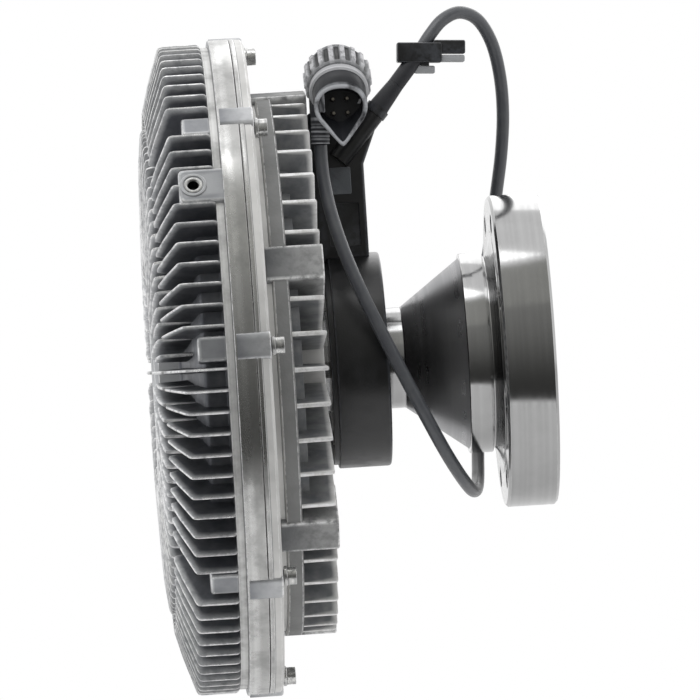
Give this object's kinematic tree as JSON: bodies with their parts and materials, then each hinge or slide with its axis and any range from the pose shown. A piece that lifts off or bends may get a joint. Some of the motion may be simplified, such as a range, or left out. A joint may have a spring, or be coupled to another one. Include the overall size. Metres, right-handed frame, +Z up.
{
  "type": "viscous fan clutch",
  "caption": "Electrically controlled viscous clutch that couples an engine fan to its drive: finned aluminium housing on a flanged steel shaft, with magnet ring, arm and cable.",
  "frame": {"origin": "centre of the mounting flange's face, on the clutch's axis", "axes": "+X along the axis to the engine, +Z up along the magnet's arm, -Y the side that the picture shows"},
  "size_m": [0.1693, 0.2788, 0.287],
  "materials": {
    "cast_cover": "cast aluminium, machined rim groove",
    "cast_housing": "cast aluminium, as cast",
    "plug": "zinc plated",
    "shaft": "machined steel with a black painted cone",
    "rotor": "machined aluminium",
    "fastener": "zinc plated steel",
    "sheet_steel": "spring steel",
    "bearing": "ground bearing steel",
    "cage": "pressed cage with its balls",
    "pole_steel": "turned soft iron",
    "winding": "enamelled copper winding",
    "seal_rubber": "black rubber",
    "moulding": "black glass-filled moulding, satin",
    "sleeve_rubber": "black rubber",
    "cable_jacket": "dark grey cable jacket",
    "clip_plastic": "black plastic",
    "connector_plastic": "black plastic",
    "ring_plastic": "black plastic, ribbed",
    "contact": "tinned contact pins"
  },
  "bodies": {
    "hub": {"flanged_shaft": "shaft", "rotor_disc": "rotor", "rotor_bolt": "fastener", "reservoir_plate": "sheet_steel", "valve_rivet": "fastener", "main_bearing_inner": "bearing", "magnet_bearing_inner": "bearing", "bearing_spacer": "bearing"},
    "housing": {"front_cover": "cast_cover", "rear_housing": "cast_housing", "filler_plug": "plug", "main_bearing_outer": "bearing", "pole_ring": "pole_steel", "cover_seal": "seal_rubber", "main_circlip": "sheet_steel", "cover_screw_1": "fastener", "cover_screw_2": "fastener", "cover_screw_3": "fastener", "cover_screw_4": "fastener", "cover_screw_5": "fastener", "cover_screw_6": "fastener", "cover_screw_7": "fastener", "cover_screw_8": "fastener"},
    "magnet": {"magnet_housing": "moulding", "magnet_core": "pole_steel", "coil": "winding", "magnet_circlip": "sheet_steel", "magnet_bearing_outer": "bearing", "cable_sleeve": "sleeve_rubber", "cable": "cable_jacket", "cable_clip": "clip_plastic", "connector_body": "connector_plastic", "contact_pin_1": "contact", "contact_pin_2": "contact", "contact_pin_3": "contact", "contact_pin_4": "contact"},
    "main_cage": {"main_bearing_cage": "cage"},
    "magnet_cage": {"magnet_bearing_cage": "cage"},
    "valve": {"valve_lever": "sheet_steel"},
    "coupling": {"connector_ring": "ring_plastic"}
  },
  "joints": [
    {"name": "housing_spin", "type": "hinge", "parent": "hub", "child": "housing", "pos_m": [0, 0, 0], "axis": [1, 0, 0], "continuous": true},
    {"name": "magnet_swivel", "type": "hinge", "parent": "hub", "child": "magnet", "pos_m": [0, 0, 0], "axis": [1, 0, 0], "continuous": true},
    {"name": "main_cage_spin", "type": "hinge", "parent": "hub", "child": "main_cage", "pos_m": [0, 0, 0], "axis": [1, 0, 0], "continuous": true},
    {"name": "magnet_cage_spin", "type": "hinge", "parent": "hub", "child": "magnet_cage", "pos_m": [0, 0, 0], "axis": [1, 0, 0], "continuous": true},
    {"name": "valve_lift", "type": "hinge", "parent": "hub", "child": "valve", "pos_m": [-0.127, 0, 0.042], "axis": [0, 1, 0], "range_deg": [0, 1.2], "stiffness_Nm_per_rad": 0.2, "springref_deg": -2.86},
    {"name": "connector_ring_turn", "type": "hinge", "parent": "magnet", "child": "coupling", "pos_m": [-0.083, -0.032, 0.1185], "axis": [0, -0.829, -0.5592], "range_deg": [0, 45]}
  ],
  "couplings": [
    {"joint": "main_cage_spin", "follows": "housing_spin", "ratio": 0.42},
    {"joint": "magnet_cage_spin", "follows": "magnet_swivel", "ratio": 0.44}
  ]
}
